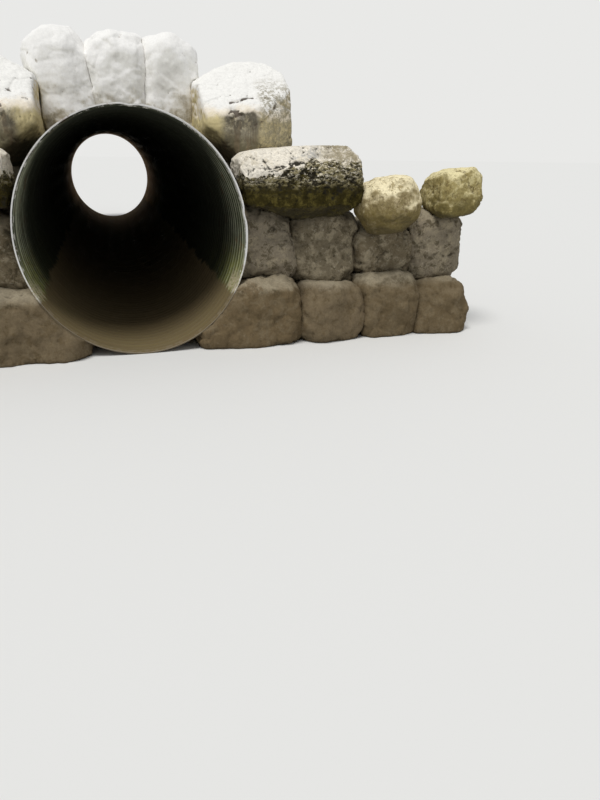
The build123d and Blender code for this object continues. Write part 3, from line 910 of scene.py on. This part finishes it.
def seamTree(material):
    # the lock seam of the wound strip follows one furrow of the spiral
    tree, names, given, ending = newGeometryTree("LockSeam", {**barrel, **seam})
    line = addNode(tree, "GeometryNodeMeshLine", {"Count": given["Points"]})
    last = mathNode(tree, "SUBTRACT", given["Points"], 1.0)
    share = mathNode(tree, "DIVIDE", addNode(tree, "GeometryNodeInputIndex").outputs[0], last)
    run = mathNode(tree, "SUBTRACT", given["Length"], times(tree, given["Inset"], 2.0))
    along = mathNode(tree, "MULTIPLY_ADD", share, run, given["Inset"])
    along = mathNode(tree, "ADD", along, given["Start"])
    turns = times(tree, mathNode(tree, "DIVIDE", along, given["Pitch"]), 2 * math.pi)
    turned = mathNode(tree, "DIVIDE", mathNode(tree, "SUBTRACT", turns, math.pi), given["Starts"])
    angle = mathNode(tree, "ADD", given["Cusp"], turned)
    moved = ovalPlace(tree, given, angle, along, waveDrop(tree, given, angle, along))
    shaped = addNode(tree, "GeometryNodeSetPosition", {"Geometry": line.outputs[0], "Position": moved})
    path = addNode(tree, "GeometryNodeMeshToCurve", {"Mesh": shaped.outputs[0]})
    finishTree(tree, ending, sweep(tree, given, path.outputs[0], True), material)
    return tree, names


mouthLip = {
    "Bead": 0.007,  # radius of the rolled lip at a mouth
    "Sides": 10,
    "Around": 168,
}


def lipTree(material):
    # the rolled lip follows the mouth's oval and its knocks
    tree, names, given, ending = newGeometryTree("MouthLip", {**barrel, **mouthLip, "Place": 0.0})
    ring = addNode(tree, "GeometryNodeCurvePrimitiveCircle", {"Resolution": given["Around"], "Radius": 1.0})
    angle = angleNow(tree)[0]
    drop = mathNode(tree, "SUBTRACT", waveDrop(tree, given, angle, given["Place"]), given["Bead"])
    moved = ovalPlace(tree, given, angle, given["Place"], drop)
    shaped = addNode(tree, "GeometryNodeSetPosition", {"Geometry": ring.outputs[0], "Position": moved})
    finishTree(tree, ending, sweep(tree, given, shaped.outputs[0]), material)
    return tree, names


def makeBarrels(materials):
    tube = barrelTree(materials["outside"])
    bead = seamTree(materials["inside"])
    rim = lipTree(materials["cutEdge"])
    lengths = sorted(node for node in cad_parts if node.startswith("pipe_length"))
    for number, node in enumerate(lengths):
        low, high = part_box(node)
        name = node.replace("_", "-")
        shape = {**barrel, "Length": high.y - low.y, "Start": low.y, "Half span": (high.x - low.x) / 2,
                 "Half rise": (high.z - low.z) / 2}
        around = barrelSheet["around"][number]
        along = round(shape["Length"] / barrel["Pitch"]) * barrelSheet["perPitch"][number]
        mesh = meshFromTree(name, tube, {**shape, "Around": around, "Along": along},
                            [("SOLIDIFY", {"thickness": barrelSheet["thickness"], "offset": -1})])
        points = arrayOf(mesh.vertices, "co")
        points[:, 1] = np.clip(points[:, 1], low.y, high.y)  # the cut ends stay flat
        mesh.vertices.foreach_set("co", points.ravel())
        mesh.materials.clear()
        for key in ("outside", "inside", "cutEdge"):
            mesh.materials.append(materials[key])
        normals, centres = arrayOf(mesh.polygons, "normal"), arrayOf(mesh.polygons, "center")
        outward = normals[:, 0] * centres[:, 0] + normals[:, 2] * (centres[:, 2] - pipeHalf[1])
        sides = np.where(outward > 0, 0, 1)
        sides[np.abs(normals[:, 1]) > barrelSheet["endTilt"]] = 2
        mesh.polygons.foreach_set("material_index", sides.astype(np.int32))
        mesh.shade_smooth()
        mesh.set_sharp_from_angle(angle=barrelSheet["sharp"])
        finishPiece(name + "-spiral", mesh, node)
        beadMesh = meshFromTree(name + "-seam", bead, shape)
        finishPiece(name + "-seam", beadMesh, None)
        if node in (lengths[0], lengths[-1]):
            mouth = low.y + mouthLip["Bead"] if node == lengths[0] else high.y - mouthLip["Bead"]
            rimMesh = meshFromTree(name + "-lip", rim, {**shape, "Place": mouth})
            finishPiece(name + "-lip", rimMesh, None)
        print(node, "made,", len(sides), "faces in the barrel and", len(beadMesh.polygons), "in the seam")


# The last four are read from each lug.
lugBolt = {
    "Count": 5,
    "Edge": 0.065,  # first bolt from the end of a lug
    "Head": 0.0145,  # across the corners, from the middle
    "Head height": 0.010,
    "Head sides": 6,
    "Washer": 0.019,
    "Washer height": 0.003,
    "Washer sides": 20,
    "Shank": 0.008,
    "Shank sides": 14,
    "Reach": 0.052,  # half of the shank's length
    "Shift": -0.12,  # share of it towards the nut
    "Start": 0.0,
    "Width": 0.6,
    "Height": 2.6,
    "Lug face": 0.04,
}
lugFit = {
    "rise": 0.004,  # the row's height over the lug's middle
    "plate": 0.005,  # thickness of a lug
    "sharp": math.radians(35),
}


def boltTree(material):
    # a row of hexagon bolts that draw the two lugs of a band together, with a nut on the far side
    tree, names, given, ending = newGeometryTree("LugBolts", lugBolt)
    parts = addNode(tree, "GeometryNodeJoinGeometry")

    def turned(sides, radius, depth, middle):
        shape = addNode(tree, "GeometryNodeMeshCylinder", {
            "Vertices": sides, "Radius": radius, "Depth": depth})
        place = addNode(tree, "ShaderNodeCombineXYZ", {"X": middle})
        laid = addNode(tree, "GeometryNodeTransform", {
            "Geometry": shape.outputs["Mesh"], "Translation": place.outputs[0],
            "Rotation": (0, math.pi / 2, 0)})
        tree.links.new(laid.outputs[0], parts.inputs[0])

    halfHead = times(tree, given["Head height"], 0.5)
    outer = mathNode(tree, "ADD", given["Lug face"], given["Washer height"])
    outer = mathNode(tree, "ADD", outer, halfHead)
    washer = mathNode(tree, "MULTIPLY_ADD", given["Washer height"], 0.5, given["Lug face"])
    for middle in (outer, times(tree, outer, -1.0)):
        turned(given["Head sides"], given["Head"], given["Head height"], middle)
    for middle in (washer, times(tree, washer, -1.0)):
        turned(given["Washer sides"], given["Washer"], given["Washer height"], middle)
    turned(given["Shank sides"], given["Shank"], times(tree, given["Reach"], 2.0),
           times(tree, given["Reach"], given["Shift"]))
    count = mathNode(tree, "SUBTRACT", given["Count"], 1.0)
    run = mathNode(tree, "SUBTRACT", given["Width"], times(tree, given["Edge"], 2.0))
    edge = mathNode(tree, "ADD", given["Start"], given["Edge"])
    first = addNode(tree, "ShaderNodeCombineXYZ", {"Y": edge, "Z": given["Height"]})
    step = addNode(tree, "ShaderNodeCombineXYZ", {"Y": mathNode(tree, "DIVIDE", run, count)})
    row = addNode(tree, "GeometryNodeMeshLine", {
        "Count": given["Count"], "Start Location": first.outputs[0], "Offset": step.outputs[0]})
    placed = addNode(tree, "GeometryNodeInstanceOnPoints", {
        "Points": row.outputs[0], "Instance": parts.outputs[0]})
    finishTree(tree, ending, placed.outputs[0], material)
    return tree, names


def makeBolts(material):
    made = boltTree(material)
    for node in sorted(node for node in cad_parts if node.endswith("_lug_right")):
        low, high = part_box(node)
        name = node.replace("_lug_right", "").replace("_", "-") + "-bolts"
        sizes = {**lugBolt, "Start": low.y, "Width": high.y - low.y,
                 "Height": (low.z + high.z) / 2 + lugFit["rise"], "Lug face": low.x + lugFit["plate"]}
        mesh = meshFromTree(name, made, sizes)
        mesh.set_sharp_from_angle(angle=lugFit["sharp"])
        finishPiece(name, mesh, None)
    print("bolts made,", len(mesh.polygons), "faces in each row")


# view and light

view = {
    "place": (-0.295, -6.749, 2.169),  # eye height 1.5 m over the stain line
    "heading": 17.62,  # degrees from the pipe's axis towards +X
    "down": 22.58,
    "roll": 0.98,
    "focalPixels": 601,
    "framePixels": 800,  # the long side
    "sensor": 36,
    "farClip": 400,
}
studio = {
    "sun": 2.05,
    "sunAngle": 24,  # degrees across, a soft edge to the shadows
    "sunTravel": (0.27, 0.30, -0.91),
    "sunColour": (1.0, 0.985, 0.955),
    "sky": 0.42,
    "skyColour": (0.95, 0.975, 1.0),
    "backdrop": (0.815, 0.815, 0.800),  # as bright as the lit floor
    "floor": (0.80, 0.80, 0.79),
    "floorRough": 0.95,
    "floorReach": 150,
    "floorDrop": 0.001,  # under the lowest point
}


def makeCamera():
    heading, down, roll = (math.radians(view[key]) for key in ("heading", "down", "roll"))
    right = Vector((math.cos(heading), -math.sin(heading), 0))
    level = math.cos(down)
    ahead = Vector((math.sin(heading) * level, math.cos(heading) * level, -math.sin(down)))
    up = right.cross(ahead)
    acrossFrame = right * math.cos(roll) + up * math.sin(roll)
    upFrame = up * math.cos(roll) - right * math.sin(roll)
    turned = Matrix((acrossFrame, upFrame, -ahead)).transposed().to_4x4()
    data = bpy.data.cameras.new("photoView")
    data.sensor_width = view["sensor"]
    data.lens = view["focalPixels"] / view["framePixels"] * view["sensor"]
    data.clip_end = view["farClip"]
    camera = bpy.data.objects.new("photoView", data)
    camera.matrix_world = Matrix.Translation(view["place"]) @ turned
    bpy.context.scene.collection.objects.link(camera)
    bpy.context.scene.camera = camera


def makeFloor():
    reach = studio["floorReach"]
    mesh = bpy.data.meshes.new("floor")
    mesh.from_pydata([(-reach, -reach, 0), (reach, -reach, 0), (reach, reach, 0), (-reach, reach, 0)],
                     [], [(0, 1, 2, 3)])
    material, shader = newMaterial("paleFloor")
    shader.inputs["Base Color"].default_value = (*studio["floor"], 1)
    shader.inputs["Roughness"].default_value = studio["floorRough"]
    shader.inputs["Specular IOR Level"].default_value = 0.0
    mesh.materials.append(material)
    floor = bpy.data.objects.new("floor", mesh)
    floor.location.z = cadBox[0][2] - studio["floorDrop"]
    bpy.context.scene.collection.objects.link(floor)


def makeSky():
    # the sky lights the object, and what the camera sees behind it is the backdrop
    world = bpy.data.worlds.new("paleSky")
    world.use_nodes = True
    tree = world.node_tree
    lit = tree.nodes["Background"]
    lit.inputs["Color"].default_value = (*studio["skyColour"], 1)
    lit.inputs["Strength"].default_value = studio["sky"]
    seen = addNode(tree, "ShaderNodeBackground", {"Color": (*studio["backdrop"], 1), "Strength": 1.0})
    path = addNode(tree, "ShaderNodeLightPath").outputs
    direct = mathNode(tree, "MAXIMUM", path["Is Camera Ray"], path["Is Glossy Ray"])
    direct = mathNode(tree, "MAXIMUM", direct, path["Is Transmission Ray"])
    both = addNode(tree, "ShaderNodeMixShader", {0: direct, 1: lit.outputs[0], 2: seen.outputs[0]})
    tree.links.new(both.outputs[0], tree.nodes["World Output"].inputs["Surface"])
    bpy.context.scene.world = world


def makeSun():
    data = bpy.data.lights.new("softSun", "SUN")
    data.energy = studio["sun"]
    data.angle = math.radians(studio["sunAngle"])
    data.color = studio["sunColour"]
    lamp = bpy.data.objects.new("softSun", data)
    lamp.rotation_euler = Vector(studio["sunTravel"]).to_track_quat("-Z", "Y").to_euler()
    bpy.context.scene.collection.objects.link(lamp)


makeCamera()
print("camera set")

stoneMaterials = {look: stoneMaterial(look) for look in stoneLooks}
faces = 0
for node in sorted(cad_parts):
    if not node.startswith(("pipe_", "coupling_", "band_")):
        faces += makeRock(node, stoneMaterials)
print("stones made,", faces, "faces in all")

steel = {look: steelMaterial(look) for look in steelLooks}
makeBarrels(steel)
makeBolts(steel["bolt"])
for node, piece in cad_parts.items():
    if node.startswith(("coupling_", "band_")):
        piece.data.materials.clear()
        piece.data.materials.append(steel["band"])
print("bands painted")

makeFloor()
makeSky()
makeSun()
bpy.context.scene.view_settings.view_transform = "Standard"
print("stage set")
